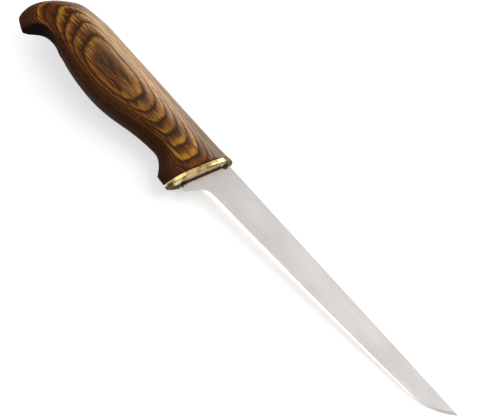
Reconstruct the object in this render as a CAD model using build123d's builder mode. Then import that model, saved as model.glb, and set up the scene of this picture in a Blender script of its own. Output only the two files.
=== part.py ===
from build123d import *
import os
from math import cos, radians, sin, sqrt, tan

# A fillet knife that lies on its side. The blade's mid-plane is the XY plane, the tip points along
# +X, the spine faces +Y and +Z comes out of the upper side. The origin is the middle of the knife's
# outline, on the mid-plane. Lengths are in millimetres and angles in degrees.

# Blade: ground from one strip of steel, with a stick tang that the handle hides
blade_length = 150.0  # from the grip point, on the bolster's face, to the tip
blade_depth = 15.4  # spine to edge, just in front of the choil
heel_depth = 22.4  # spine to the heel's lowest corner
heel_reach = 0.6  # the heel's corner in front of the grip point
choil_reach = 9.9  # where the choil's curve runs out into the edge
blade_thickness = 1.9  # the strip, which the tang keeps
tip_thickness = 0.9  # across the spine at the tip
edge_thickness = 0.8  # behind the edge bevel, at the choil
edge_land = 0.08  # the flat left along the very edge
edge_bevel = 17.0  # each side of the edge, from the mid-plane
spine_chamfer = 0.3
belly_start_share = 0.86  # where the edge leaves its long run, of blade_length
belly_depth_share = 0.604  # the blade's depth there, of blade_depth
edge_bow_share = 0.002  # how much the long run bows, of blade_length

# Tang
root_height = 20.0  # the tall part that passes the bolster's slot
root_drop = 0.5  # its middle below the grip point
root_embed = 3.2  # how far it reaches into the wood
relief_radius = 1.4  # round notches in the shoulder's corners
tang_length = 78.0  # behind the grip point
tang_height = 9.0
tang_drop = 11.5  # its centre line below the spine
tang_fillet = 1.5  # where it leaves the root
key_radius = 1.1  # half-round notches for the adhesive
key_count = 3
key_spacing = 18.0

# Bolster: a brass plate, slanted against the blade
guard_slant = 17.1  # from square to the spine
grip_drop = 10.7  # the grip point below the spine
bolster_rise = 2.3  # its upper end above the spine
bolster_reach = 27.5  # its lower end below the spine
bolster_width = 14.2
bolster_thickness = 2.5  # along the blade's axis
bolster_front_round = 0.9
bolster_back_round = 0.25
round_bands = 3  # narrow bands that the front's rounding is filed in
shoulder_gap = 0.35  # the open line between the blade's shoulder and the bolster
slot_side_gap = 0.2  # each side of the tang, in the bolster's slot
slot_end_gap = 0.12

# Handle: resin-bonded veneers, shaped as one piece, with a hooked butt
handle_length = 111.0  # from the grip point to the butt
handle_depth = 28.1  # from the spine's line to the hook's toe
back_rise = 2.7  # the back's highest place above the spine's line
palm_width = 21.2  # across the palm swell, the thickest place
wood_inset = 0.25  # how far the wood stands inside the bolster's outline
toe_round = 1.6  # most that the toe's sawn end is rounded by
toe_round_least = 0.4
toe_straight = 8.9  # a toe no longer than this keeps the least rounding
bore_side_gap = 0.5  # bedding beside the tang
bore_end_gap = 1.0  # bedding above, below and behind it

# Bedding adhesive
film_thickness = 0.15  # between the bolster and the wood
film_inset = 0.35  # how far the film stays inside the wood's outline
slot_fill_setback = 0.8  # behind the bolster's face

overrun = 5.0  # how far a cutter runs past what it cuts

# Shares that shape the egg-shaped sections, first of the bolster and then in general
bolster_crest_share = 0.52  # the widest place, from the lower end
bolster_belly_share = 0.32  # bluntness of the lower end
bolster_back_share = 0.78  # and of the upper end
level_share = 0.16  # the level strip along the widest place, of the section's depth
crown_share = 0.5  # where a section's sides bend over most, from its end to the level strip
belly_flat_share = 0.06  # the flat along the belly, of the section's half width

# Three rails shape the handle, from its lip behind the bolster to past the butt: the back, the widest
# line of the upper side and the belly. Along is a share of handle_length behind the grip point, down
# of handle_depth below the spine's line, and out of half the palm's width. Under the hook the rails
# reach lower than the wood, which is sawn away there.
back_shares = [
    (0.041, -0.064),
    (0.240, -0.063),
    (0.450, -0.068),
    (0.631, -0.085),
    (0.725, -0.096),
    (0.811, -0.050),
    (0.865, 0.004),
    (0.919, 0.121),
    (0.958, 0.290),
    (0.986, 0.520),
    (1.000, 0.800),
    (1.000, 1.032),
]
crest_shares = [
    (0.076, 0.427, 0.703),
    (0.194, 0.390, 0.792),
    (0.317, 0.395, 0.892),
    (0.430, 0.410, 0.976),
    (0.550, 0.427, 1.000),
    (0.712, 0.445, 0.958),
    (0.782, 0.463, 0.906),
    (0.840, 0.470, 0.854),
    (0.885, 0.500, 0.815),
    (0.920, 0.580, 0.775),
    (0.942, 0.690, 0.735),
    (0.954, 0.800, 0.665),
    (0.958, 0.900, 0.520),
    (0.958, 1.000, 0.250),
    (0.957, 1.100, 0.060),
]
belly_shares = [
    (0.113, 0.957),
    (0.146, 0.822),
    (0.183, 0.744),
    (0.220, 0.737),
    (0.272, 0.762),
    (0.357, 0.826),
    (0.436, 0.900),
    (0.530, 0.936),
    (0.604, 0.920),
    (0.689, 0.873),
    (0.761, 0.808),
    (0.821, 0.791),
    (0.868, 0.818),
    (0.895, 0.893),
    (0.908, 0.993),
    (0.914, 1.068),
    (0.926, 1.174),
]

# Bluntness of the belly and of the back in the sections that stand evenly along the rails: round
# behind the lip, full in the palm, boxed under the hook and round again at the butt
blunt_shares = [
    (0.34, 0.78),
    (0.36, 0.76),
    (0.40, 0.75),
    (0.47, 0.75),
    (0.57, 0.76),
    (0.71, 0.77),
    (0.83, 0.79),
    (0.89, 0.80),
    (0.92, 0.82),
    (0.93, 0.87),
    (0.93, 0.92),
    (0.93, 0.94),
    (0.94, 0.95),
    (0.96, 0.95),
    (0.97, 0.94),
    (0.92, 0.86),
    (0.80, 0.70),
]

# The hook's underside, along and down as above, from below the belly to the toe's heel, and then
# the toe's middle and its end on the back
underside_shares = [
    (0.703, 0.911),
    (0.770, 0.792),
    (0.811, 0.733),
    (0.856, 0.714),
    (0.887, 0.747),
    (0.913, 0.847),
    (0.928, 0.947),
    (0.937, 1.000),
]
toe_shares = [(0.974, 0.950), (1.002, 0.800)]
toe_ease_share = 0.5  # of the toe's length over its straight part, for each length of rounding

# The knife's own frame starts at the grip point's station, on the spine's line
grip_x = (handle_length - blade_length) / 2
spine_y = (handle_depth - back_rise) / 2
knife = Plane(origin=(grip_x, spine_y, 0))

# Directions of the bolster's face: up it, from belly to spine, and out of it, towards the tip
slant = radians(guard_slant)
up_x, up_y = sin(slant), cos(slant)
out_x, out_y = cos(slant), -sin(slant)

# Places along that last direction, from the bolster's face backwards
bolster_back = -bolster_thickness * out_x
wood_front = bolster_back - film_thickness
root_end = wood_front - root_embed

half_strip = blade_thickness / 2


def face_point(up, out):
    """Point of the knife's frame this far up the bolster's face and out of it."""
    return (up * up_x + out * out_x, -grip_drop + up * up_y + out * out_y)


def face_crossing(down, out):
    """Point at a depth below the spine, on the line that lies this far out of the face."""
    return face_point((grip_drop - down - out * out_y) / up_y, out)


def face_plane(point):
    """Plane along the bolster's face through a point: x towards the back, z towards the tip."""
    origin = knife.from_local_coords((*point, 0))
    return Plane(origin=origin, x_dir=(up_x, up_y, 0), z_dir=(out_x, out_y, 0))


def along_down(along, down):
    """Point of the knife's frame from its shares of the handle's length and depth."""
    return (-along * handle_length, -down * handle_depth)


def egg_section(plane, depth, half_width, crest_share, belly_share, back_share):
    """Egg-shaped face with its belly at the plane's origin and its back at depth along x."""
    level_start = depth * (crest_share - level_share / 2)
    level_end = depth * (crest_share + level_share / 2)
    flat = half_width * belly_flat_share
    with BuildSketch(plane) as section:
        with BuildLine():
            belly_side = Bezier(
                (0, flat),
                (0, flat + (half_width - flat) * belly_share),
                (level_start * crown_share, half_width),
                (level_start, half_width),
            )
            level = Line((level_start, half_width), (level_end, half_width))
            back_side = Bezier(
                (level_end, half_width),
                (depth - (depth - level_end) * crown_share, half_width),
                (depth, half_width * back_share),
                (depth, 0),
            )
            mirror([belly_side, level, back_side], about=Plane.XZ)
            Line((0, -flat), (0, flat))
        make_face()
    return section.sketch


def front_section(out, inset):
    """The bolster's own section, this far out of its face and this far inside its outline."""
    return egg_section(
        face_plane(face_crossing(bolster_reach - inset * up_y, out)),
        (bolster_rise + bolster_reach) / up_y - 2 * inset,
        bolster_width / 2 - inset,
        bolster_crest_share,
        bolster_belly_share,
        bolster_back_share,
    )


def tang_outline(gap, front):
    """The tang from the side, grown by a gap, from a line out of the bolster's face to its end."""
    back = root_end - gap
    join = face_crossing(tang_drop, root_end + root_embed / 2)
    stick_length = tang_length + gap + join[0]
    with BuildSketch(knife) as outline:
        with Locations(Location((*face_point(-root_drop, (front + back) / 2), 0), -guard_slant)):
            Rectangle(front - back, root_height + 2 * gap)
        with Locations(join):
            Rectangle(stick_length, tang_height + 2 * gap, align=(Align.MAX, Align.CENTER))
        corners = ShapeList()
        for side in (-1, 1):
            corner = face_crossing(tang_drop + side * (tang_height / 2 + gap), back)
            corners.append(outline.vertices().sort_by_distance((*corner, 0))[0])
        fillet(corners, radius=tang_fillet)
    return outline.sketch


def grind_plane(side):
    """Plane of the blade's upper (1) or lower (-1) flat, facing outwards."""
    heel = Vector(*shoulder_top, side * half_strip)
    along = Vector(*tip, side * tip_thickness / 2) - heel
    across = Vector(*choil_end, side * edge_thickness / 2) - heel
    normal = across.cross(along) * side
    return Plane(origin=knife.from_local_coords(heel), x_dir=along, z_dir=normal)


# Blade. The blank is bevelled along its edge while it is still a flat strip, then each side is
# ground to a plane that falls from the spine to the edge and from the heel to the tip.
bevel_drop = half_strip - edge_land / 2
bevel_width = bevel_drop / tan(radians(edge_bevel))
heel_corner = (heel_reach, -heel_depth)
choil_end = (choil_reach, -blade_depth)
belly_start = (blade_length * belly_start_share, -blade_depth * belly_depth_share)
tip = (blade_length, 0)
shoulder_top = face_crossing(0, shoulder_gap)
shoulder_foot = face_crossing(heel_depth, shoulder_gap)

with BuildPart() as blade:
    with BuildSketch(knife):
        with BuildLine():
            long_run = SagittaArc(choil_end, belly_start, -edge_bow_share * blade_length)
            belly_sweep = TangentArc(belly_start, tip, tangent=long_run % 1)
            choil = TangentArc(choil_end, heel_corner, tangent=-(long_run % 0))
            Polyline(tip, shoulder_top, shoulder_foot, heel_corner)
        make_face()
    extrude(amount=half_strip, both=True)
    curves = (choil, long_run, belly_sweep)
    for side in (-1, 1):
        flank = blade.faces().filter_by(Axis.Z).sort_by(Axis((0, 0, 0), (0, 0, side)))[-1]
        middles = [knife.from_local_coords((*(curve @ 0.5), side * half_strip)) for curve in curves]
        rims = [flank.edges().sort_by_distance(middle)[0] for middle in middles]
        chamfer(rims, length=bevel_width, length2=bevel_drop, reference=flank)
    for side in (-1, 1):
        split(bisect_by=grind_plane(side), keep=Keep.BOTTOM)
    spine_wall = blade.faces().filter_by(Axis.Y).sort_by(Axis.Y)[-1]
    chamfer(spine_wall.edges().sort_by(SortBy.LENGTH)[-2:], length=spine_chamfer)

    # The tang, full strip thickness, with relief notches at the shoulder and keying notches
    extrude(tang_outline(0, shoulder_gap), amount=half_strip, both=True)
    with BuildSketch(knife):
        for up in (-root_height / 2, root_height / 2):
            with Locations(face_point(up - root_drop, shoulder_gap)):
                Circle(relief_radius)
        with Locations((key_spacing * (key_count + 1) / 2 - tang_length, -tang_drop)):
            with GridLocations(key_spacing, tang_height, key_count, 2):
                Circle(key_radius)
    extrude(amount=blade_thickness, both=True, mode=Mode.SUBTRACT)

# Bolster. Its rim runs along the blade's axis, flush with the wood, and its slot square to its face.
slot_width = blade_thickness + 2 * slot_side_gap
corner_reach = slot_width / 2 - sqrt((slot_width / 2) ** 2 - half_strip**2)
slot_length = root_height + 2 * (corner_reach + slot_end_gap)

bolster_sections = [
    front_section(bolster_back, bolster_back_round),
    front_section(bolster_back + bolster_back_round, 0),
]
for band in range(round_bands + 1):
    turn = radians(90 * band / round_bands)
    bolster_sections.append(
        front_section(bolster_front_round * (sin(turn) - 1), bolster_front_round * (1 - cos(turn)))
    )

with BuildPart() as bolster:
    loft(bolster_sections, ruled=True)
    with BuildSketch(face_plane(face_point(-root_drop, overrun))):
        SlotOverall(slot_length, slot_width)
    extrude(amount=bolster_back - 2 * overrun, mode=Mode.SUBTRACT)

# Handle. Its lip is lofted from the bolster to the rails' start and the rest along the rails, the
# hook's underside and toe are sawn square to the blade, and the tang's bore is cut from the front.
with BuildLine():
    back_rail = Spline([along_down(*share) for share in back_shares])
    belly_rail = Spline([along_down(*share) for share in belly_shares])
    crest_rail = Spline([(*along_down(*share[:2]), share[2] * palm_width / 2) for share in crest_shares])


def rail_section(progress, belly_share, back_share):
    """Section of the handle at this share of the rails' lengths."""
    foot = knife.from_local_coords(belly_rail @ progress)
    across = knife.from_local_coords(back_rail @ progress) - foot
    crest = knife.from_local_coords(crest_rail @ progress)
    return egg_section(
        Plane(origin=foot, x_dir=across, z_dir=across.cross(Vector(0, 0, 1))),
        across.length,
        crest.Z,
        (crest - foot).dot(across) / across.length**2,
        belly_share,
        back_share,
    )


sections = [
    rail_section(station / (len(blunt_shares) - 1), *shares)
    for station, shares in enumerate(blunt_shares)
]
lowest_down = belly_shares[-1][1] * handle_depth + overrun

with BuildPart() as handle:
    loft([front_section(wood_front, wood_inset), sections[0]])
    loft(sections)
    with BuildSketch(knife):
        with BuildLine():
            underside = Spline([along_down(*share) for share in underside_shares])
            toe = ThreePointArc(underside @ 1, *[along_down(*share) for share in toe_shares])
            Polyline(
                toe @ 1,
                (-handle_length - overrun, (toe @ 1).Y),
                (-handle_length - overrun, -lowest_down),
                ((underside @ 0).X, -lowest_down),
                underside @ 0,
            )
        make_face()
    extrude(amount=palm_width, both=True, mode=Mode.SUBTRACT)
    toe_middle = knife.from_local_coords((*along_down(*toe_shares[0]), 0))
    toe_ease = max((toe.length - toe_straight) / toe_ease_share, toe_round_least)
    fillet(handle.faces().sort_by_distance(toe_middle)[0].edges(), radius=min(toe_round, toe_ease))
    bore = tang_outline(bore_end_gap, wood_front + overrun)
    extrude(bore, amount=half_strip + bore_side_gap, both=True, mode=Mode.SUBTRACT)

# Adhesive. It fills the bore round the tang, spreads as a film behind the bolster and reaches into
# the bolster's slot.
with BuildPart() as tang_adhesive:
    extrude(front_section(bolster_back, wood_inset + film_inset), amount=-film_thickness)
    extrude(tang_outline(bore_end_gap, wood_front), amount=half_strip + bore_side_gap, both=True)
    with BuildSketch(face_plane(face_point(-root_drop, -slot_fill_setback))):
        SlotOverall(slot_length, slot_width)
    extrude(amount=bolster_back + slot_fill_setback)
    add(blade.part, mode=Mode.SUBTRACT)

os.makedirs("parts", exist_ok=True)
blade.part.label = "blade"
bolster.part.label = "bolster"
handle.part.label = "handle"
tang_adhesive.part.label = "tang_adhesive"
for piece in (blade, bolster, handle, tang_adhesive):
    export_step(piece.part, "parts/" + piece.part.label + ".step")
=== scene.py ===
import logging
import math
from collections.abc import Callable
from dataclasses import dataclass
from enum import Enum
from functools import cached_property

import bpy
import numpy as np
from bpy.types import ColorRamp, Material, Node, NodeSocket, Object, World
from mathutils import Matrix, Vector
from numpy import ndarray


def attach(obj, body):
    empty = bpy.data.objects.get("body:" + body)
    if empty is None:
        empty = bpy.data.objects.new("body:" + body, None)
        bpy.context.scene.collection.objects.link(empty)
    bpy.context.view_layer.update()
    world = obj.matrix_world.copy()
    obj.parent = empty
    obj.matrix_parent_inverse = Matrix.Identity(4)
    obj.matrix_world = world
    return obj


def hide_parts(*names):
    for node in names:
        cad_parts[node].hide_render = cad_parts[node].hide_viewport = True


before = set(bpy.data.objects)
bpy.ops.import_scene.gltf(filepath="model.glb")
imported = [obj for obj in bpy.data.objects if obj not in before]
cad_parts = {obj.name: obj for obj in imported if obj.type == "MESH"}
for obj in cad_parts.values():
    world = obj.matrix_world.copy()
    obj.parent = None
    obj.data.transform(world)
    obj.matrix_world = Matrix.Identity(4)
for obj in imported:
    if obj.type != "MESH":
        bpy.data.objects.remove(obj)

log = logging.getLogger("fillet_knife")

MM = 0.001
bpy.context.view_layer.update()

# The grip point's station on the spine's line, in the frame of the whole knife. Lengths are in
# millimetres, but in metres in the studio
GRIP = (-19.5, 12.7, 0.0)

# How far the bolster leans from square to the blade
BOLSTER_SLANT = math.radians(17.1)

# Middle of what goes from 0 to 1, as soft noise does
MIDDLE = 0.5

# Keeps a divisor from being zero
NEARLY_ZERO = 1e-12

WHITE = (1.0, 1.0, 1.0)

Colour = tuple[float, float, float]
Place = tuple[float, float, float]

# Points of a rail, as shares of the sizes that they follow
Shares = tuple[tuple[float, ...], ...]

# Where a smooth change starts and ends and, where these aren't 0 and 1, its low and high value
Fade = tuple[float, ...]


class Way(Enum):
    """How one colour is laid over another."""

    COVER = "MIX"
    DARKEN = "DARKEN"


Operator = Callable[["Wire", "Wire | float"], "Wire"]


def both_ways(operation: str) -> tuple[Operator, Operator]:
    """An operator on wires and its reflected form, each of which adds a Math node."""
    plain: Operator = lambda wire, other: wire.math(operation, wire, other)
    return plain, lambda wire, other: wire.math(operation, other, wire)


class Wire:
    """One output socket of a shader tree. Arithmetic on wires adds Math nodes."""

    __add__, __radd__ = both_ways("ADD")
    __sub__, __rsub__ = both_ways("SUBTRACT")
    __mul__, __rmul__ = both_ways("MULTIPLY")
    __truediv__, __rtruediv__ = both_ways("DIVIDE")
    __mod__, __rmod__ = both_ways("FLOORED_MODULO")

    def __init__(self, bench: "Bench", socket: NodeSocket) -> None:
        """Wraps a socket of the bench's tree."""
        self.bench = bench
        self.socket = socket

    def math(self, operation: str, *values: "Wire | float") -> "Wire":
        """Adds a Math node on these values."""
        return self.bench.wire("ShaderNodeMath", {"operation": operation}, dict(enumerate(values)))

    def __abs__(self) -> "Wire":
        """This value without its sign."""
        return self.math("ABSOLUTE", self)

    def floor(self) -> "Wire":
        """The whole number at or under this value."""
        return self.math("FLOOR", self)

    def most(self, other: "Wire | float") -> "Wire":
        """The larger of two values."""
        return self.math("MAXIMUM", self, other)

    def least(self, other: "Wire | float") -> "Wire":
        """The smaller of two values."""
        return self.math("MINIMUM", self, other)

    def centred(self) -> "Wire":
        """How far a value from 0 to 1 is from the middle."""
        return self - MIDDLE

    def rise(
        self, start: "Wire | float", end: "Wire | float", low: float = 0.0, high: float = 1.0
    ) -> "Wire":
        """Goes smoothly from low to high as this value goes from start to end."""
        ends = {"From Min": start, "From Max": end, "To Min": low, "To Max": high}
        return self.bench.wire(
            "ShaderNodeMapRange", {"interpolation_type": "SMOOTHSTEP"}, {"Value": self, **ends}
        )


@dataclass(frozen=True)
class Pattern:
    """A soft noise: the length of its features along each axis in millimetres, and its finer octaves.

    The shift moves a pattern, so that two of one size differ. Sway is how far apart its ends are.
    """

    size: Place
    detail: float = 1.0
    shift: float = 0.0
    sway: float = 1.0


class Bench:
    """The node tree of a material or a world, built up from nothing."""

    def __init__(self, owner: Material | World) -> None:
        """Empties the owner's node tree.

        Args:
            owner: The material or world whose tree this is.
        """
        owner.use_nodes = True
        self.owner = owner
        self.tree = owner.node_tree
        self.tree.nodes.clear()

    @classmethod
    def new(cls, name: str) -> "Bench":
        """The bench of a new material."""
        return cls(bpy.data.materials.new(name))

    def node(self, kind: str, settings: dict, inputs: dict) -> Node:
        """Adds a node.

        Args:
            kind: The node's type.
            settings: What is set on the node first; steps is the list of a ramp's flat colours.
            inputs: Values or wires by the socket's name or number.

        Returns:
            The new node.
        """
        made = self.tree.nodes.new(kind)
        for key, value in settings.items():
            if key == "steps":
                self._set_steps(made.color_ramp, value)
            else:
                setattr(made, key, value)
        for key, value in inputs.items():
            socket = made.inputs[key]
            if isinstance(value, Wire):
                self.tree.links.new(value.socket, socket)
            else:
                socket.default_value = (*value, 1.0) if socket.type == "RGBA" else value
        return made

    def wire(self, kind: str, settings: dict, inputs: dict, output: int | str = 0) -> Wire:
        """Adds a node and gives one of its outputs."""
        return Wire(self, self.node(kind, settings, inputs).outputs[output])

    @staticmethod
    def _set_steps(ramp: ColorRamp, colours: tuple[Colour, ...]) -> None:
        """Gives a ramp flat steps of equal length.

        Args:
            ramp: The ramp.
            colours: Its steps' colours.
        """
        ramp.interpolation = "CONSTANT"
        while len(ramp.elements) < len(colours):
            ramp.elements.new(1.0)
        for step, (element, colour) in enumerate(zip(ramp.elements, colours)):
            element.position = step / len(colours)
            element.color = (*colour, 1.0)

    def vector(self, operation: str, inputs: dict) -> Wire:
        """Adds a Vector Math node."""
        return self.wire("ShaderNodeVectorMath", {"operation": operation}, inputs)

    def millimetres(self) -> Wire:
        """Finds the shaded place on the object.

        Returns:
            The place in millimetres, from the grip point's station on the spine.
        """
        place = self.wire("ShaderNodeTexCoord", {}, {}, "Object")
        scaled = self.vector("SCALE", {0: place, "Scale": 1 / MM})
        return self.vector("SUBTRACT", {0: scaled, 1: GRIP})

    def attribute(self, name: str) -> Wire:
        """One of the mesh's own attributes."""
        return self.wire("ShaderNodeAttribute", {"attribute_name": name}, {}, "Fac")

    def split(self, vector: Wire) -> tuple[Wire, Wire, Wire]:
        """The three parts of a vector."""
        parts = self.node("ShaderNodeSeparateXYZ", {}, {0: vector}).outputs
        return Wire(self, parts[0]), Wire(self, parts[1]), Wire(self, parts[2])

    def noise(self, place: Wire, pattern: Pattern) -> Wire:
        """Soft noise from 0 to 1.

        Args:
            place: Place on the object, in millimetres.
            pattern: The noise's size, detail and shift.

        Returns:
            The noise's value.
        """
        shift = (pattern.shift, pattern.shift, pattern.shift)
        shrink = tuple(1 / length for length in pattern.size)
        stretched = self.vector("MULTIPLY_ADD", {0: place, 1: shrink, 2: shift})
        inputs = {"Vector": stretched, "Scale": 1.0, "Detail": pattern.detail}
        return self.wire("ShaderNodeTexNoise", {}, inputs)

    def sway(self, place: Wire, pattern: Pattern) -> Wire:
        """Soft noise about zero, as strong as the pattern sways."""
        return self.noise(place, pattern).centred() * pattern.sway

    def steps(self, value: Wire, colours: tuple[Colour, ...]) -> Wire:
        """The colour of the equal step that a value from 0 to 1 falls on."""
        return self.wire("ShaderNodeValToRGB", {"steps": colours}, {0: value})

    def blend(
        self, share: Wire | float, under: Wire | Colour, over: Wire | Colour, way: Way = Way.COVER
    ) -> Wire:
        """Lays one colour over another.

        Args:
            share: How much of the upper colour shows, from 0 to 1.
            under: The lower colour.
            over: The upper colour.
            way: How it is laid.

        Returns:
            The mixed colour. A Mix node's colours are its inputs 6 and 7 and its output 2.
        """
        settings = {"data_type": "RGBA", "blend_type": way.value}
        return self.wire("ShaderNodeMix", settings, {0: share, 6: under, 7: over}, 2)

    def tone(self, colour: Wire, strength: Wire) -> Wire:
        """Makes a colour lighter or darker by a factor."""
        return self.vector("SCALE", {0: colour, "Scale": strength})

    def bump(self, height: Wire, distance: float) -> Wire:
        """Normal of a surface with this relief, in metres at its highest."""
        inputs = {"Height": height, "Distance": distance, "Strength": 1.0}
        return self.wire("ShaderNodeBump", {}, inputs, "Normal")

    def seen(self) -> Wire:
        """Tells what shows as background from what lights the knife.

        Returns:
            One for the camera's rays and for those that metal and glass send on, and zero for others.
        """
        path = self.node("ShaderNodeLightPath", {}, {})
        kinds = ("Camera", "Glossy", "Transmission")
        camera, glossy, transmitted = (Wire(self, path.outputs[f"Is {kind} Ray"]) for kind in kinds)
        return camera.most(glossy).most(transmitted)

    def finish(self, **sockets: Wire | float | Colour) -> Material:
        """Ends the tree in one surface shader.

        Args:
            sockets: The shader's values, with an underscore for each space in a socket's name.

        Returns:
            The finished material.
        """
        inputs = {name.replace("_", " "): value for name, value in sockets.items()}
        surface = self.wire("ShaderNodeBsdfPrincipled", {}, inputs)
        self.node("ShaderNodeOutputMaterial", {}, {"Surface": surface})
        return self.owner


@dataclass(frozen=True)
class WoodPlace:
    """What the veneers' finish knows of a point. Within is a share of the veneer's thickness."""

    bench: Bench
    place: Wire
    along: Wire
    out: Wire
    sawn: Wire
    facing: Wire
    ply: Wire
    within: Wire
    odds: tuple[Wire, Wire, Wire]
    figure: Wire
    fibre: Wire
    pore: Wire
    dash: Wire


@dataclass(frozen=True)
class VeneerWood:
    """Resin-bonded veneers, cut through by the handle's rounding, under a satin oil finish, with a painted
    sheen along the back and painted shade on the belly.

    Places are from the grip point. Facing is how far the surface turns to the back.
    """

    resin: Colour = (0.024, 0.008, 0.003)
    heart_and_belly_shade: Colour = (0.15, 0.040, 0.007)
    painted_sheen: Colour = (0.46, 0.305, 0.165)

    # The veneers' colours from the crest inwards, which begin anew after the last. The deeper ones, which
    # show on the sides, are darker, partly as their own colours and partly as painted shade
    neck_colours: tuple[Colour, ...] = (
        (0.310, 0.125, 0.018), (0.290, 0.113, 0.016), (0.330, 0.138, 0.019), (0.330, 0.138, 0.019),
        (0.420, 0.190, 0.024), (0.520, 0.235, 0.020), (0.180, 0.052, 0.007), (0.150, 0.048, 0.008),
        (0.085, 0.028, 0.006), (0.150, 0.052, 0.008), (0.075, 0.026, 0.006), (0.120, 0.044, 0.008),
        (0.060, 0.022, 0.005), (0.100, 0.036, 0.006), (0.055, 0.020, 0.005), (0.105, 0.038, 0.007),
        (0.060, 0.023, 0.006), (0.080, 0.030, 0.006), (0.050, 0.018, 0.004), (0.075, 0.028, 0.006),
    )
    hook_colours: tuple[Colour, ...] = (
        (0.310, 0.125, 0.018), (0.280, 0.112, 0.016), (0.320, 0.134, 0.019), (0.410, 0.180, 0.017),
        (0.135, 0.033, 0.006), (0.480, 0.155, 0.014), (0.150, 0.042, 0.007), (0.095, 0.034, 0.007),
        (0.060, 0.024, 0.006), (0.085, 0.031, 0.007), (0.045, 0.019, 0.005), (0.070, 0.027, 0.006),
        (0.040, 0.017, 0.005), (0.066, 0.026, 0.006), (0.040, 0.016, 0.005), (0.070, 0.027, 0.006),
        (0.044, 0.018, 0.005), (0.060, 0.024, 0.006), (0.040, 0.016, 0.004), (0.055, 0.022, 0.006),
    )
    hook_fade: Fade = (-58, -78)
    hook_border: Pattern = Pattern((15, 9, 9), sway=30)

    # Bond lines are flat sheets but for a slight wander from the pressing
    ply: float = 0.55
    first_line: float = 10.15
    slow_wander: Pattern = Pattern((26, 11, 60), sway=0.22)
    quick_wander: Pattern = Pattern((5, 2.2, 40), sway=0.10)

    # Figure, fibres, pores and dashes run along the handle
    figure: Pattern = Pattern((24, 5, 1.6), 2, 3.1)
    figure_tone: float = 1.1
    fibre: Pattern = Pattern((9, 0.50, 0.60), 2, 1.7)
    fibre_tone: float = 1.3
    pore: Pattern = Pattern((5.0, 0.36, 0.60), 1, 5.3)
    pore_fade: Fade = (0.52, 0.64)
    pore_depth: float = 0.50
    dash: Pattern = Pattern((8.0, 0.42, 1.5), 1, 8.2)

    # Red heartwood shows where a veneer begins
    heart_fade: Fade = (0.85, 0.20)
    heart_least: float = 0.60
    heart_odds: float = 0.35
    heart_figure: float = 1.2
    heart_most: float = 0.85
    # Painted shade: the belly, which turns from the light, goes towards the red heartwood colour
    belly_red_shade: Fade = (0.0, -0.5, 0.0, 0.6)

    # Dashes crowd there as well, and on the crest
    crowd: float = 0.34
    crowd_figure: float = 0.26
    crowd_crest: Fade = (10.0, 10.4, 0.0, 0.035)
    dash_fade: Fade = (0.46, 0.57)
    dash_least: float = 0.60
    dash_odds: float = 0.3

    # Painted sheen: the back is painted pale, as a highlight along it
    sheen_facing: Fade = (-0.08, 0.36)
    sheen_hook: Fade = (-98, -82)
    sheen_neck_fade: Fade = (-32, -6, 1.0, 0.62)
    sheen_share: float = 0.55
    sheen_tone: float = 1.36
    sheen_odds: float = 0.2
    sheen_fibre: float = 1.4
    sheen_neck_tone: Fade = (-60, -8, 1.0, 0.72)
    sheen_rim: Fade = (0.38, 0.85, 1.0, 0.78)
    sheen_depth: float = 0.92

    # Each bond line is dark and soaks into the pores beside it. Widths are shares of a veneer
    line_swell: Pattern = Pattern((9, 3, 30), 1, 4.4)
    line_least: float = 0.026
    line_sway: float = 0.09
    line_odds: float = 0.05
    line_blur: float = 0.10
    line_core_share: float = 0.5
    line_depth: float = 0.90
    soak_width: float = 0.27
    soak_fade: Fade = (0.44, 0.54)
    soak_depth: float = 0.85
    # The painted sheen fades the bond lines and pores by this share
    sheen_washout: float = 0.30

    # The sawn end grain is dark, partly its own colour and partly painted shade, and painted shade darkens
    # the belly, which turns from the light
    sawn_dark_and_shade: float = 0.84
    belly_painted_shade: Fade = (-0.75, -0.02, 0.45, 1.0)

    # The oil's film is thickest towards the back, and the belly and the sawn face are dry
    roughness: float = 0.48
    fibre_roughness: float = 0.10
    belly_roughness: float = 0.25
    belly_dry: Fade = (-0.1, -0.7)
    sawn_roughness: float = 0.3
    specular: float = 0.07
    coat: Fade = (-0.05, 0.42, 0.03, 0.60)
    coat_roughness: float = 0.30
    relief: float = 0.04 * MM
    relief_fibre_share: float = 0.6

    def read(self, bench: Bench) -> WoodPlace:
        """Finds the veneer and the figure at a shaded point.

        Args:
            bench: The material's tree.

        Returns:
            What the finish knows of the point.
        """
        place = bench.millimetres()
        along, _, out = bench.split(place)
        wander = bench.sway(place, self.slow_wander) + bench.sway(place, self.quick_wander)
        level = (self.first_line - out + wander) / self.ply
        ply = level.floor()
        chance = bench.wire("ShaderNodeTexWhiteNoise", {"noise_dimensions": "1D"}, {"W": ply}, "Color")
        return WoodPlace(
            bench=bench,
            place=place,
            along=along,
            out=out,
            sawn=bench.attribute("sawn"),
            facing=bench.attribute("facing"),
            ply=ply,
            within=level - ply,
            odds=bench.split(chance),
            figure=bench.noise(place, self.figure),
            fibre=bench.noise(place, self.fibre),
            pore=bench.noise(place, self.pore),
            dash=bench.noise(place, self.dash),
        )

    def veneers(self, wood: WoodPlace) -> Wire:
        """Colours each veneer by its turn, in one order at the neck and in another at the hook.

        Args:
            wood: The shaded point.

        Returns:
            The colour.
        """
        turns = len(self.neck_colours)
        turn = ((wood.ply + 1) % turns + MIDDLE) / turns
        border = wood.bench.sway(wood.place, self.hook_border)
        neck = wood.bench.steps(turn, self.neck_colours)
        hook = wood.bench.steps(turn, self.hook_colours)
        return wood.bench.blend((wood.along + border).rise(*self.hook_fade), neck, hook)

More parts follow.
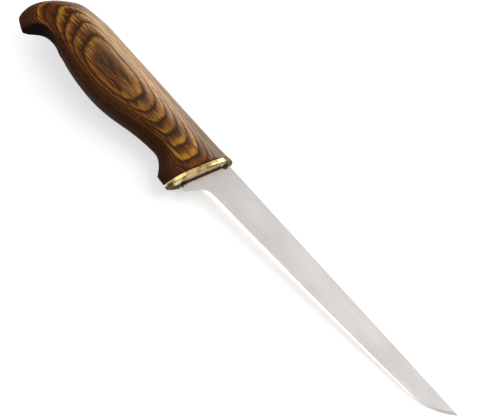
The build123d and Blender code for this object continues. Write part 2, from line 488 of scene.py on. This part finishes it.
    def grain(self, wood: WoodPlace, colour: Wire) -> Wire:
        """Adds figure, heartwood, dark dashes and painted shade on the belly.

        Args:
            wood: The shaded point.
            colour: The veneer's colour.

        Returns:
            The colour with its grain.
        """
        bench, figure = wood.bench, wood.figure.centred()
        tone = 1.0 + figure * self.figure_tone + wood.fibre.centred() * self.fibre_tone
        colour = bench.tone(colour, tone)
        lively = self.heart_least + wood.odds[1] * self.heart_odds
        warm = wood.within.rise(*self.heart_fade) * lively + figure * self.heart_figure
        warmed = bench.blend(1.0, colour, self.heart_and_belly_shade, Way.DARKEN)
        colour = bench.blend(warm.most(0.0).least(self.heart_most), colour, warmed)
        outer = MIDDLE - wood.within
        crowd = outer * self.crowd + figure * self.crowd_figure + wood.out.rise(*self.crowd_crest)
        comb = (wood.dash + crowd).rise(*self.dash_fade)
        dark = comb * (self.dash_least + wood.odds[2] * self.dash_odds)
        colour = bench.blend(dark, colour, self.resin)
        # Painted shade on the belly
        return bench.blend(wood.facing.rise(*self.belly_red_shade), colour, self.heart_and_belly_shade)

    def sheen_and_lines(self, wood: WoodPlace, colour: Wire) -> Wire:
        """Paints a pale sheen along the back, and draws the bond lines and pores, which are fainter under
        it.

        Args:
            wood: The shaded point.
            colour: The colour with its grain.

        Returns:
            The colour with its painted sheen, bond lines and pores.
        """
        bench, facing, along = wood.bench, wood.facing, wood.along
        # Painted sheen on the side that turns to the back, fading at the hook and the neck
        back = facing.rise(*self.sheen_facing) * along.rise(*self.sheen_hook) * along.rise(*self.sheen_neck_fade)
        sheen_strength = self.sheen_tone + wood.odds[1] * self.sheen_odds
        sheen_strength = (sheen_strength + wood.fibre.centred() * self.sheen_fibre) * along.rise(*self.sheen_neck_tone)
        worn_and_sheen = bench.blend(self.sheen_share, colour, self.painted_sheen)
        worn_and_sheen = bench.tone(worn_and_sheen, sheen_strength * facing.rise(*self.sheen_rim))
        colour = bench.blend(back * self.sheen_depth, colour, worn_and_sheen)
        unsheened = 1.0 - back * self.sheen_washout
        swell = bench.noise(wood.place, self.line_swell)
        thick = self.line_least + swell * self.line_sway + wood.odds[0] * self.line_odds
        edge = wood.within.least(1.0 - wood.within)
        line = edge.rise(thick + self.line_blur, thick * self.line_core_share)
        soak = edge.rise(thick + self.soak_width, thick) * wood.dash.rise(*self.soak_fade)
        dark = line.most(soak * self.soak_depth) * unsheened * self.line_depth
        colour = bench.blend(dark, colour, self.resin)
        return bench.blend(wood.pore.rise(*self.pore_fade) * unsheened * self.pore_depth, colour, self.resin)

    def make(self) -> Material:
        """Builds the material.

        Returns:
            The finished material.
        """
        bench = Bench.new("veneer wood")
        wood = self.read(bench)
        facing = wood.facing
        colour = self.sheen_and_lines(wood, self.grain(wood, self.veneers(wood)))
        # Painted shade on the belly, and on the sawn end grain on top of its own dark colour
        colour = bench.tone(colour, (1.0 - wood.sawn * self.sawn_dark_and_shade) * facing.rise(*self.belly_painted_shade))
        dry = facing.rise(*self.belly_dry) * self.belly_roughness
        rough = self.roughness + wood.fibre * self.fibre_roughness + dry
        relief = wood.fibre * self.relief_fibre_share + wood.pore * (1 - self.relief_fibre_share)
        return bench.finish(
            Base_Color=colour,
            Roughness=(rough + wood.sawn * self.sawn_roughness).least(1.0),
            Specular_IOR_Level=self.specular,
            Normal=bench.bump(relief, self.relief),
            Coat_Weight=facing.rise(*self.coat) * (1.0 - wood.sawn),
            Coat_Roughness=self.coat_roughness,
        )


@dataclass(frozen=True)
class BolsterPlace:
    """A shaded point's place at the slanted bolster, from the grip point."""

    along: Wire
    up: Wire
    out: Wire
    front: float
    notches: tuple[float, ...] = (-0.7, -20.4)
    notch_ahead: float = 0.25
    notch_flatness: float = 0.45
    notch_fade: Fade = (2.6, 1.9)

    @cached_property
    def across(self) -> Wire:
        """Distance along the bolster, towards the spine."""
        return self.along * math.sin(BOLSTER_SLANT) + self.up * math.cos(BOLSTER_SLANT)

    @cached_property
    def forward(self) -> Wire:
        """Distance square to the bolster, towards the tip."""
        return self.along * math.cos(BOLSTER_SLANT) - self.up * math.sin(BOLSTER_SLANT)

    def notch_shade(self) -> Wire:
        """Tells where shade is painted in the two keying notches beside the blade, with their dark
        reflection in the brass.

        Returns:
            One at the notches and zero away from them.
        """
        upper, lower = (self.across - notch for notch in self.notches)
        ahead = self.forward - (self.front + self.notch_ahead)
        high = self.out * self.notch_flatness
        nearest = (upper * upper).least(lower * lower) + ahead * ahead + high * high
        return nearest.rise(*self.notch_fade)


@dataclass(frozen=True)
class PolishedBrass:
    """Brass with a fine polish and rubbing marks, with painted dark reflections at its two ends and
    painted shade in its slot and notches.
    """

    front: float
    metal: Colour = (0.84, 0.65, 0.32)
    worn_and_sheen: Colour = (0.42, 0.27, 0.08)
    shade_and_dark_reflection: Colour = (0.040, 0.029, 0.016)
    middle: float = -12.6
    cloud: Pattern = Pattern((4, 3, 3), 3, 2.0)
    rub: Pattern = Pattern((0.12, 2.5, 2.5), 2, 6.0)
    worn_fade: Fade = (0.42, 0.62)

    # Painted dark reflections lie on both ends, at the spine's over the whole depth and at the belly's
    # near the front
    dark_reflection_ends: Fade = (11.0, 12.8)
    dark_reflection_sway: float = 2.0
    dark_reflection_spine: Fade = (-2.0, 2.0)
    dark_reflection_front: Fade = (-1.0, -0.3)
    dark_reflection_front_sway: float = 1.5
    dark_reflection_depth: float = 0.85

    # Painted shade lies in the slot around the blade
    slot_side: Fade = (1.35, 1.10)
    slot_end: Fade = (13.2, 12.9)

    # A painted dark reflection lies on the front of the lower side near the ends
    under_ends: Fade = (7.2, 8.0)
    under_side: Fade = (-0.3, -1.0)
    under_front: Fade = (-1.8, -1.2)
    under_reflection_depth: float = 0.9

    darkest: float = 0.97
    matt_share: float = 0.92
    specular: float = 0.04
    roughness: float = 0.15
    cloud_roughness: float = 0.10
    rub_roughness: float = 0.06
    dark_roughness: float = 0.30
    relief: float = 0.02 * MM
    relief_share: float = 0.5

    def darkness(self, spot: BolsterPlace, cloud: Wire) -> Wire:
        """Tells where dark reflections and shade are painted on the polished brass.

        Args:
            spot: The shaded point.
            cloud: Soft noise that makes the painted dark reflection's border waver.

        Returns:
            One where the brass is darkest and zero where it is polished.
        """
        off_middle = spot.across - self.middle
        reach = abs(off_middle)
        ahead = spot.forward - spot.front
        near_front = (ahead + cloud * self.dark_reflection_front_sway).rise(*self.dark_reflection_front)
        deep = off_middle.rise(*self.dark_reflection_spine).most(near_front)
        dark_reflection = (reach + cloud.centred() * self.dark_reflection_sway).rise(*self.dark_reflection_ends) * deep
        slot = abs(spot.out).rise(*self.slot_side) * reach.rise(*self.slot_end)
        below = spot.out.rise(*self.under_side)
        under = reach.rise(*self.under_ends) * below * ahead.rise(*self.under_front)
        dark = (dark_reflection * self.dark_reflection_depth).most(slot).most(spot.notch_shade())
        return dark.most(under * self.under_reflection_depth)

    def make(self) -> Material:
        """Builds the material.

        Returns:
            The finished material.
        """
        bench = Bench.new("polished brass")
        place = bench.millimetres()
        spot = BolsterPlace(*bench.split(place), self.front)
        cloud = bench.noise(place, self.cloud)
        rub = bench.noise(place, self.rub)
        dark = self.darkness(spot, cloud)
        colour = bench.blend(cloud.rise(*self.worn_fade), self.metal, self.worn_and_sheen)
        rough = self.roughness + cloud * self.cloud_roughness + rub * self.rub_roughness
        return bench.finish(
            Base_Color=bench.blend(dark * self.darkest, colour, self.shade_and_dark_reflection),
            Metallic=1.0 - dark * self.matt_share,
            Specular_IOR_Level=self.specular,
            Roughness=rough + dark * self.dark_roughness,
            Normal=bench.bump(rub * self.relief_share + cloud * (1 - self.relief_share), self.relief),
        )


@dataclass(frozen=True)
class SatinSteel:
    """Stainless steel, ground and satin-polished along the blade, with painted shade in the gap at the
    bolster.
    """

    front: float
    metal: Colour = (0.620, 0.578, 0.558)
    light: Colour = (0.700, 0.658, 0.640)
    # The honed bevel is lighter, partly for its polish and partly as a painted highlight
    honed_and_highlight: Colour = (0.74, 0.715, 0.705)
    gap_shade: Colour = (0.012, 0.010, 0.008)
    patch: Pattern = Pattern((24, 9, 9), 2, 1.0)
    patch_fade: Fade = (0.3, 0.7)
    patch_share: float = 0.7
    grain: Pattern = Pattern((16, 0.16, 0.16), 2, 3.0)
    hair: Pattern = Pattern((30, 0.5, 0.5), 2, 7.0)
    hair_share: float = 0.3
    # Painted shade, darker towards the tip and in a line along the spine
    tip_painted_shade: Fade = (70, 150, 1.0, 0.90)
    spine_painted_shade: Fade = (-0.9, -0.3, 1.0, 0.88)

    # The edge bevel is known by its tilt, which lies between the sides' and the spine's
    bevel_from_side: Fade = (0.985, 0.972)
    bevel_from_spine: Fade = (0.85, 0.92)

    # Painted shade of the gap at the bolster's front, which ends in a ragged line
    ragged: Pattern = Pattern((1.2, 1.2, 1.2), sway=0.25)
    gap_shade_fade: Fade = (0.85, 0.60)

    roughness: float = 0.30
    grain_roughness: float = 0.10
    patch_roughness: float = 0.06
    gap_shade_roughness: float = 0.3
    honed_polish: float = 0.10
    relief: float = 0.012 * MM
    relief_grain_share: float = 0.6

    def bevel(self, bench: Bench) -> Wire:
        """Tells the honed edge bevel from the ground sides.

        Args:
            bench: The material's tree.

        Returns:
            One on the bevel and zero away from it.
        """
        normal = bench.wire("ShaderNodeNewGeometry", {}, {}, "True Normal")
        turn = {"vector_type": "NORMAL", "convert_from": "WORLD", "convert_to": "OBJECT"}
        turned = bench.wire("ShaderNodeVectorTransform", turn, {0: normal})
        square = abs(bench.split(turned)[2])
        return square.rise(*self.bevel_from_side) * square.rise(*self.bevel_from_spine)

    def make(self) -> Material:
        """Builds the material.

        Returns:
            The finished material.
        """
        bench = Bench.new("satin steel")
        place = bench.millimetres()
        along, up, out = bench.split(place)
        patch = bench.noise(place, self.patch)
        grain = bench.noise(place, self.grain)
        hair = bench.noise(place, self.hair)
        lightness = patch.rise(*self.patch_fade) * self.patch_share + hair * self.hair_share
        colour = bench.blend(lightness, self.metal, self.light)
        # Painted shade towards the tip and along the spine
        colour = bench.tone(colour, along.rise(*self.tip_painted_shade) * up.rise(*self.spine_painted_shade))
        bevel = self.bevel(bench)
        # The bevel's lighter colour is partly a painted highlight
        colour = bench.blend(bevel, colour, self.honed_and_highlight)
        spot = BolsterPlace(along, up, out, self.front)
        ahead = spot.forward - spot.front + bench.sway(place, self.ragged)
        # Painted shade in the gap at the bolster and at the notches
        gap_shade = ahead.rise(*self.gap_shade_fade).most(spot.notch_shade())
        rough = self.roughness + grain * self.grain_roughness + patch * self.patch_roughness
        relief = grain * self.relief_grain_share + hair * (1 - self.relief_grain_share)
        return bench.finish(
            Base_Color=bench.blend(gap_shade, colour, self.gap_shade),
            Metallic=1.0 - gap_shade,
            Roughness=rough + gap_shade * self.gap_shade_roughness - bevel * self.honed_polish,
            Normal=bench.bump(relief, self.relief),
        )


@dataclass(frozen=True)
class BeddingResin:
    """Dark adhesive, slightly pitted where it set."""

    body: Colour = (0.020, 0.014, 0.010)
    thin: Colour = (0.050, 0.032, 0.020)
    cloud: Pattern = Pattern((1.6, 1.2, 1.2), 3)
    roughness: float = 0.45
    cloud_roughness: float = 0.25
    relief: float = 0.05 * MM

    def make(self) -> Material:
        """Builds the material.

        Returns:
            The finished material.
        """
        bench = Bench.new("bedding resin")
        cloud = bench.noise(bench.millimetres(), self.cloud)
        return bench.finish(
            Base_Color=bench.blend(cloud, self.body, self.thin),
            Roughness=self.roughness + cloud * self.cloud_roughness,
            Normal=bench.bump(cloud, self.relief),
        )


@dataclass(frozen=True)
class WhiteFloor:
    """Floor that keeps the knife's shadow. It is white as background and greyer as a source of light."""

    matt: float = 0.34
    matt_seen: float = 0.36
    glow_seen: float = 0.47

    def make(self) -> Material:
        """Builds the material.

        Returns:
            The finished material.
        """
        bench = Bench.new("white floor")
        seen = bench.seen()
        matt = bench.wire("ShaderNodeBsdfDiffuse", {}, {"Color": seen * self.matt_seen + self.matt})
        glow = bench.wire("ShaderNodeEmission", {}, {"Color": WHITE, "Strength": seen * self.glow_seen})
        both = bench.wire("ShaderNodeAddShader", {}, {0: matt, 1: glow})
        bench.node("ShaderNodeOutputMaterial", {}, {"Surface": both})
        return bench.owner


class Rail:
    """A smooth line through points: a natural cubic spline over their running distance."""

    def __init__(self, points: list[tuple[float, ...]]) -> None:
        """Fits the line.

        Args:
            points: The points that it runs through, in order.
        """
        self.points = np.array(points, float)
        steps = np.linalg.norm(np.diff(self.points, axis=0), axis=1)
        self.knots = np.concatenate([[0.0], np.cumsum(steps)]) / steps.sum()
        gaps = np.diff(self.knots)
        count = len(self.points)
        system = np.eye(count)
        right = np.zeros_like(self.points)
        slopes = np.diff(self.points, axis=0) / gaps[:, None]
        for row in range(1, count - 1):
            system[row, row - 1 : row + 2] = gaps[row - 1], 2 * (gaps[row - 1] + gaps[row]), gaps[row]
            right[row] = 6 * (slopes[row] - slopes[row - 1])
        self.bends = np.linalg.solve(system, right)

    def at(self, share: float) -> ndarray:
        """Finds one point of the line.

        Args:
            share: Share of the line's length, from 0 to 1.

        Returns:
            The point.
        """
        span = int(np.clip(np.searchsorted(self.knots, share) - 1, 0, len(self.knots) - 2))
        gap = self.knots[span + 1] - self.knots[span]
        late = (share - self.knots[span]) / gap
        early = 1 - late
        straight = early * self.points[span] + late * self.points[span + 1]
        bent = (early**3 - early) * self.bends[span] + (late**3 - late) * self.bends[span + 1]
        return straight + bent * gap**2 / 6

    def samples(self, count: int) -> ndarray:
        """Points at even shares of the line's length."""
        return np.array([self.at(share) for share in np.linspace(0, 1, count)])


def crossing(start: ndarray, heading: ndarray, path: ndarray) -> tuple[float, float] | None:
    """Finds where a straight line crosses a path.

    Args:
        start: Point on the line.
        heading: Unit direction of the line.
        path: Points of the path.

    Returns:
        The nearest crossing's distance along the line and its place in the path, or None.
    """
    side = np.array([-heading[1], heading[0]])
    offsets = (path - start) @ side
    found = []
    for spot in np.nonzero(offsets[:-1] * offsets[1:] <= 0)[0]:
        part = offsets[spot] / (offsets[spot] - offsets[spot + 1] + NEARLY_ZERO)
        point = path[spot] + (path[spot + 1] - path[spot]) * part
        found.append((float((point - start) @ heading), spot + part))
    return min(found, key=lambda item: abs(item[0]), default=None)


def bezier(points: list[tuple[float, float]], count: int, ended: bool = True) -> ndarray:
    """Draws a Bezier curve of any degree.

    Args:
        points: Its first point, its handles and its last point.
        count: How many points it gets, evenly over its parameter.
        ended: Whether the last of them is the curve's end.

    Returns:
        The points.
    """
    share = np.linspace(0, 1, count, endpoint=ended)[:, None]
    degree = len(points) - 1
    return sum(
        math.comb(degree, late) * (1 - share) ** (degree - late) * share**late * np.array(point, float)
        for late, point in enumerate(points)
    )


def evenly(path: ndarray, count: int) -> ndarray:
    """Points at even distances along a path."""
    run = np.concatenate([[0.0], np.cumsum(np.linalg.norm(np.diff(path, axis=0), axis=1))])
    return np.stack([np.interp(np.linspace(0, run[-1], count), run, column) for column in path.T], axis=1)


def deselect() -> None:
    """Leaves nothing selected."""
    bpy.ops.object.select_all(action="DESELECT")


def name_piece(name: str) -> Object:
    """Names the active object and its mesh, and gives the object."""
    bpy.context.object.name = bpy.context.object.data.name = name
    return bpy.context.object


def mark(piece: Object, name: str, values: ndarray) -> None:
    """Gives a mesh an attribute with one value for each vertex."""
    attribute = piece.data.attributes.new(name, "FLOAT", "POINT")
    attribute.data.foreach_set("value", values.astype(np.float32))


@dataclass
class Handle:
    """The handle of veneers, shaped along three rails and sawn under its hook.

    In the rails, along is a share of the length behind the grip point, down of the depth below the
    spine's line, and out of half the palm's width.
    """

    length: float = 111.0
    depth: float = 28.1
    palm_half: float = 10.6

    # The front, which meets the bolster
    bolster_rise: float = 2.3
    bolster_reach: float = 27.5
    bolster_half: float = 7.1
    wood_front: float = -2.54
    wood_inset: float = 0.25
    grip_drop: float = 10.7
    front_crest_share: float = 0.52

    # A section's form, by shares of its depth and half width. Progress goes from the front to the butt
    crown_share: float = 0.5
    hook_crown_share: float = 0.34
    hook_progress: tuple[float, float] = (0.55, 0.72)
    level_share: float = 0.16
    flat_share: float = 0.06

    # The saw's cut under the hook and its rounded corners
    sawing_from: float = 0.6
    least_left: float = 0.4
    front_round: float = 0.2
    plain_round: float = 0.25
    edge_round: float = 0.5
    toe_round: float = 1.3
    toe_begins: tuple[float, float] = (0.45, 0.72)
    corner_half_share: float = 0.7
    corner_left_share: float = 0.5
    least_lean: float = 0.3

    # How finely it is modelled
    rings: int = 240
    lip_rings: int = 7
    chord_steps: int = 4
    corner_steps: int = 4
    side_steps: int = 44
    egg_steps: int = 90
    underside_steps: int = 300
    toe_steps: int = 120
    path_corner_trim: int = 14
    path_corner_steps: int = 20
    weld: float = 0.001
    crease: float = math.radians(38)

    finish: VeneerWood = VeneerWood()

    # Rails and saw's cut, along and down, from the bolster to the butt, the crest with out as well
    back_shares: Shares = (
        (0.041, -0.064), (0.240, -0.063), (0.450, -0.068), (0.631, -0.070), (0.725, -0.067),
        (0.811, -0.024), (0.865, 0.036), (0.901, 0.140), (0.935, 0.268), (0.969, 0.445),
        (0.990, 0.600), (0.998, 0.720), (0.9985, 0.810), (0.992, 0.890), (0.972, 0.955),
    )
    crest_shares: Shares = (
        (0.076, 0.427, 0.703), (0.194, 0.390, 0.792), (0.317, 0.395, 0.892), (0.430, 0.410, 0.976),
        (0.550, 0.427, 1.000), (0.712, 0.445, 0.958), (0.782, 0.463, 0.906), (0.840, 0.470, 0.854),
        (0.885, 0.500, 0.815), (0.920, 0.580, 0.775), (0.942, 0.690, 0.735), (0.954, 0.800, 0.665),
        (0.958, 0.900, 0.520), (0.958, 1.000, 0.250), (0.957, 1.100, 0.060),
    )
    belly_shares: Shares = (
        (0.113, 0.957), (0.146, 0.822), (0.183, 0.744), (0.220, 0.737), (0.272, 0.752), (0.357, 0.804),
        (0.436, 0.867), (0.530, 0.905), (0.604, 0.896), (0.689, 0.858), (0.761, 0.808), (0.821, 0.785),
        (0.868, 0.818), (0.895, 0.893), (0.908, 0.993), (0.914, 1.068), (0.926, 1.174),
    )
    underside_shares: Shares = (
        (0.722, 0.858), (0.770, 0.792), (0.811, 0.733), (0.856, 0.714), (0.887, 0.747), (0.913, 0.847),
        (0.929, 0.947), (0.940, 1.001),
    )
    toe_shares: Shares = ((0.940, 1.001), (0.961, 0.968), (0.979, 0.932), (1.000, 0.880))

    # Bluntness of the belly and of the back, at even progress
    blunt_shares: Shares = (
        (0.34, 0.78), (0.40, 0.75), (0.57, 0.76), (0.83, 0.79), (0.92, 0.82), (0.93, 0.92),
        (0.94, 0.95), (0.97, 0.94), (0.80, 0.70),
    )

    def placed(self, shares: Shares) -> Rail:
        """The rail through points given as shares."""
        sizes = (-self.length, -self.depth, self.palm_half)
        return Rail([tuple(share * size for share, size in zip(point, sizes)) for point in shares])

    def egg(
        self, depth: float, half: float, crest: float, blunt: tuple[float, float], crown: float
    ) -> ndarray:
        """Half outline of a section.

        Args:
            depth: From belly to back.
            half: Half the width at the crest.
            crest: The crest's distance from the belly.
            blunt: Bluntness of the belly and of the back.
            crown: How soon the width falls off towards the back.

        Returns:
            Points of distance from the belly and half width, from the belly to the back.
        """
        flat = half * self.flat_share
        low = crest - depth * self.level_share / 2
        high = crest + depth * self.level_share / 2
        swell = flat + (half - flat) * blunt[0]
        belly = [(0, flat), (0, swell), (low * self.crown_share, half), (low, half)]
        back = [(high, half), (depth - (depth - high) * crown, half), (depth, half * blunt[1]), (depth, 0)]
        return np.concatenate([bezier(belly, self.egg_steps), bezier(back, self.egg_steps)])

    def half_ring(self, egg: ndarray, cut: float, rounding: float, lean: float) -> ndarray:
        """Evenly spread points of a section from the middle of its underside to its back.

        Args:
            egg: Half outline of the section.
            cut: Distance from the belly at which the section is sawn off.
            rounding: Radius at the sawn corner.
            lean: How squarely the section meets the saw's cut, from 0 to 1.

        Returns:
            Points of distance from the belly and half width.
        """
        left = egg[-1, 0] - cut
        corner_half = float(np.interp(cut, egg[:, 0], egg[:, 1]))
        inwards = min(rounding, corner_half * self.corner_half_share)
        upwards = min(rounding / lean, left * self.corner_left_share)
        start = np.array([cut + upwards, float(np.interp(cut + upwards, egg[:, 0], egg[:, 1]))])
        chord = np.linspace([cut, 0], [cut, corner_half - inwards], self.chord_steps, endpoint=False)
        handles = [(cut, corner_half - inwards), (cut, corner_half), tuple(start)]
        corner = bezier(handles, self.corner_steps, ended=False)
        side = np.concatenate([[start], egg[egg[:, 0] > start[0]]])
        return np.concatenate([chord, corner, evenly(side, self.side_steps)])

    def ring(self, half_ring: ndarray, foot: ndarray, heading: ndarray) -> ndarray:
        """A whole ring's points in the knife's frame, from its foot and its heading to the back."""
        loop = np.concatenate([half_ring, half_ring[-2::-1] * (1, -1)])
        return np.column_stack([foot + loop[:, :1] * heading, loop[:, 1]])

    def front_ring(self) -> ndarray:
        """Shapes the ring that meets the bolster.

        Returns:
            The ring's points.
        """
        up = np.array([math.sin(BOLSTER_SLANT), math.cos(BOLSTER_SLANT)])
        ahead = np.array([math.cos(BOLSTER_SLANT), -math.sin(BOLSTER_SLANT)])
        down = self.bolster_reach - self.wood_inset * up[1]
        rise = (self.grip_drop - down - self.wood_front * ahead[1]) / up[1]
        foot = np.array([0, -self.grip_drop]) + rise * up + self.wood_front * ahead
        depth = (self.bolster_rise + self.bolster_reach) / up[1] - 2 * self.wood_inset
        half = self.bolster_half - self.wood_inset
        crest = depth * self.front_crest_share
        egg = self.egg(depth, half, crest, self.blunt_shares[0], self.crown_share)
        return self.ring(self.half_ring(egg, 0.0, self.front_round, 1.0), foot, up)

    def saw_path(self) -> ndarray:
        """Points of the saw's cut.

        Returns:
            The underside, a small rounding and the toe.
        """
        toe_rail = self.placed(self.toe_shares)
        trim = self.path_corner_trim
        under = self.placed(self.underside_shares).samples(self.underside_steps)[:-trim]
        toe = toe_rail.samples(self.toe_steps)[trim:]
        corner = tuple(toe_rail.at(0.0))
        rounding = bezier([tuple(under[-1]), corner, corner, tuple(toe[0])], self.path_corner_steps)
        return np.concatenate([under, rounding[1:-1], toe])

    def corner(self, place: float, heading: ndarray, path: ndarray) -> tuple[float, float]:
        """Rounding where a section meets the saw's cut.

        Args:
            place: Where in the path it meets the cut.
            heading: The section's direction to the back.
            path: Points of the saw's cut.

        Returns:
            The corner's radius, and how squarely the section meets the cut.
        """
        spot = int(min(place, len(path) - 2))
        along = path[spot + 1] - path[spot]
        lean = abs(along[0] * heading[1] - along[1] * heading[0]) / np.linalg.norm(along)
        rounding = float(np.interp(spot / len(path), self.toe_begins, [self.edge_round, self.toe_round]))
        return rounding, max(lean, self.least_lean)

    def all_rings(self) -> tuple[list[ndarray], list[bool]]:
        """Shapes the rings from the bolster to the toe.

        Returns:
            The rings, and whether the saw has cut each.
        """
        courses = self.belly_shares, self.back_shares, self.crest_shares
        rails = [self.placed(shares) for shares in courses]
        path = self.saw_path()
        steps = np.linspace(0, 1, len(self.blunt_shares))
        crowns = self.crown_share, self.hook_crown_share
        rings, sawn = [], []
        sawing = False
        for progress in np.linspace(0, 1, self.rings):
            foot, top, widest = (rail.at(progress) for rail in rails)
            depth = float(np.linalg.norm(top - foot))
            heading = (top - foot) / depth
            found = crossing(foot, heading, path) if progress > self.sawing_from else None
            cut = max(found[0], 0.0) if found else 0.0
            if cut > depth - self.least_left or (sawing and not found):
                break
            sawing = cut > 0
            blunt = tuple(np.interp(progress, steps, column) for column in zip(*self.blunt_shares))
            crown = float(np.interp(progress, self.hook_progress, crowns))
            egg = self.egg(depth, float(widest[2]), float((widest[:2] - foot) @ heading), blunt, crown)
            rounding, lean = self.corner(found[1], heading, path) if found else (self.plain_round, 1.0)
            rings.append(self.ring(self.half_ring(egg, cut, rounding, lean), foot, heading))
            sawn.append(sawing)
        front = self.front_ring()
        lip = [front + (rings[0] - front) * share for share in np.linspace(0, 1, self.lip_rings)[:-1]]
        return lip + rings, [False] * len(lip) + sawn

    def sawn_marks(self, sawn: list[bool], count: int) -> ndarray:
        """Tells the saw's cut from the shaped sides.

        Args:
            sawn: Whether the saw has cut each ring.
            count: How many vertices a ring has.

        Returns:
            One for each vertex on the saw's cut and zero for the others.
        """
        place = np.abs(np.arange(count) - (count - 1) / 2)
        on_chord = place > (count - 1) / 2 - self.chord_steps - self.corner_steps / 2
        return (np.array(sawn)[:, None] & on_chord[None, :]).ravel()

    def close(self) -> None:
        """Welds the active mesh's seam and caps its two ends."""
        bpy.ops.object.mode_set(mode="EDIT")
        bpy.ops.mesh.select_all(action="SELECT")
        bpy.ops.mesh.remove_doubles(threshold=self.weld * MM)
        bpy.ops.mesh.select_all(action="DESELECT")
        bpy.ops.mesh.select_non_manifold()
        bpy.ops.mesh.edge_face_add()
        bpy.ops.mesh.select_all(action="SELECT")
        bpy.ops.mesh.normals_make_consistent(inside=False)
        bpy.ops.object.mode_set(mode="OBJECT")
        bpy.ops.object.shade_smooth_by_angle(angle=self.crease)

    def build(self) -> Object:
        """Builds the handle.

        Returns:
            The finished piece.
        """
        rings, sawn = self.all_rings()
        across, along = len(rings[0]), len(rings)
        deselect()
        bpy.ops.mesh.primitive_grid_add(x_subdivisions=across - 1, y_subdivisions=along - 1, size=1)
        piece = name_piece("veneer_handle")
        places = (np.concatenate(rings) + GRIP) * MM
        piece.data.vertices.foreach_set("co", places.astype(np.float32).ravel())
        piece.data.update()
        mark(piece, "sawn", self.sawn_marks(sawn, across))
        self.close()
        normals = np.zeros(len(piece.data.vertices) * 3, np.float32)
        piece.data.vertex_normals.foreach_get("vector", normals)
        mark(piece, "facing", normals[1::3])
        piece.data.materials.append(self.finish.make())
        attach(piece, "root")
        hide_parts("handle")
        log.info("%s: %d faces", piece.name, len(piece.data.polygons))
        return piece


@dataclass(frozen=True)
class Softbox:
    """An area light that faces the knife from a way off. Its power is in watts."""

    name: str
    way: Place
    distance: float
    size: tuple[float, float]
    power: float

    def hang(self) -> None:
        """Adds the light to the scene."""
        lamp = bpy.data.lights.new(self.name, "AREA")
        lamp.shape = "RECTANGLE"
        lamp.size, lamp.size_y = self.size
        lamp.energy = self.power
        box = bpy.data.objects.new(self.name, lamp)
        bpy.context.scene.collection.objects.link(box)
        way = Vector(self.way)
        turn = way.to_track_quat("Z", "Y").to_matrix().to_4x4()
        box.matrix_world = Matrix.Translation(way.normalized() * self.distance) @ turn


@dataclass
class Studio:
    """Floor, soft lights and the camera, whose lens is in millimetres."""

    azimuth: float = math.radians(49.231)
    elevation: float = math.radians(71.0)
    distance: float = 0.9
    aim: Place = (2.685 * MM, 3.038 * MM, 0.0)
    lens: float = 157.0
    near: float = 0.01
    tip_digits: int = 4
    floor_size: float = 6.0
    floor_finish: WhiteFloor = WhiteFloor()
    room_light: float = 0.40
    room_seen: float = 0.22
    boxes: tuple[Softbox, ...] = (
        Softbox("key box", (0.26, 0.54, 0.80), 1.5, (1.1, 1.1), 11),
        Softbox("back box", (-0.25, 1.0, 0.42), 1.3, (1.8, 0.8), 15),
        Softbox("edge box", (-0.24, -0.46, 0.86), 1.5, (0.8, 0.5), 4),
    )

    def place_camera(self) -> None:
        """Adds the camera and makes it the scene's."""
        sin, cos = math.sin(self.azimuth), math.cos(self.azimuth)
        level = math.cos(self.elevation)
        right = Vector((cos, sin, 0))
        back = Vector((sin * level, -cos * level, math.sin(self.elevation)))
        view = bpy.data.cameras.new("view")
        view.lens = self.lens
        view.clip_start = self.near
        camera = bpy.data.objects.new("view", view)
        bpy.context.scene.collection.objects.link(camera)
        turn = Matrix((right, back.cross(right), back)).transposed().to_4x4()
        camera.matrix_world = Matrix.Translation(Vector(self.aim) + back * self.distance) @ turn
        bpy.context.scene.camera = camera

    def lay_floor(self, handle: Object, blade: Object) -> None:
        """Lays a floor that touches the palm swell and the blade's tip.

        Args:
            handle: The finished handle.
            blade: The blade's node.
        """
        points = (vertex.co for vertex in blade.data.vertices)
        tip = min(points, key=lambda point: (-round(point.x, self.tip_digits), point.z))
        slope = max((tip.z - vertex.co.z) / (tip.x - vertex.co.x) for vertex in handle.data.vertices)
        deselect()
        bpy.ops.mesh.primitive_plane_add(size=self.floor_size)
        floor = name_piece("floor")
        for vertex in floor.data.vertices:
            vertex.co.z = tip.z + slope * (vertex.co.x - tip.x)
        floor.data.materials.append(self.floor_finish.make())
        log.info("floor: slope %.2f degrees", math.degrees(math.atan(slope)))

    def light(self) -> None:
        """Sets the view transform, the world and the soft lights."""
        scene = bpy.context.scene
        scene.view_settings.view_transform = "Standard"
        scene.world = bpy.data.worlds.new("room")
        bench = Bench(scene.world)
        strength = bench.seen() * self.room_seen + self.room_light
        sky = bench.wire("ShaderNodeBackground", {}, {"Color": WHITE, "Strength": strength})
        bench.node("ShaderNodeOutputWorld", {}, {"Surface": sky})
        for box in self.boxes:
            box.hang()

    def build(self, handle: Object, blade: Object) -> None:
        """Builds the camera, the floor under the knife and the lights.

        Args:
            handle: The finished handle.
            blade: The blade's node.
        """
        self.place_camera()
        self.lay_floor(handle, blade)
        self.light()


def dress(node: str, material: Material) -> None:
    """Gives a node of the solid model its finish.

    Args:
        node: The node's name.
        material: The finish.
    """
    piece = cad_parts[node]
    piece.data.materials.clear()
    piece.data.materials.append(material)
    log.info("%s: dressed in %s", node, material.name)


def bolster_front(bolster: Object) -> float:
    """How far before the grip point the bolster's front stands, square to the bolster."""
    ahead = Vector((math.cos(BOLSTER_SLANT), -math.sin(BOLSTER_SLANT), 0))
    return max((vertex.co / MM - Vector(GRIP)).dot(ahead) for vertex in bolster.data.vertices)


def main() -> None:
    """Builds the knife's looks and its stage."""
    logging.basicConfig(level=logging.INFO, format="%(message)s")
    handle = Handle().build()
    front = bolster_front(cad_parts["bolster"])
    dress("blade", SatinSteel(front).make())
    dress("bolster", PolishedBrass(front).make())
    dress("tang_adhesive", BeddingResin().make())
    dress("handle", handle.data.materials[0])
    Studio().build(handle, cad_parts["blade"])


if __name__ == "__main__":
    main()
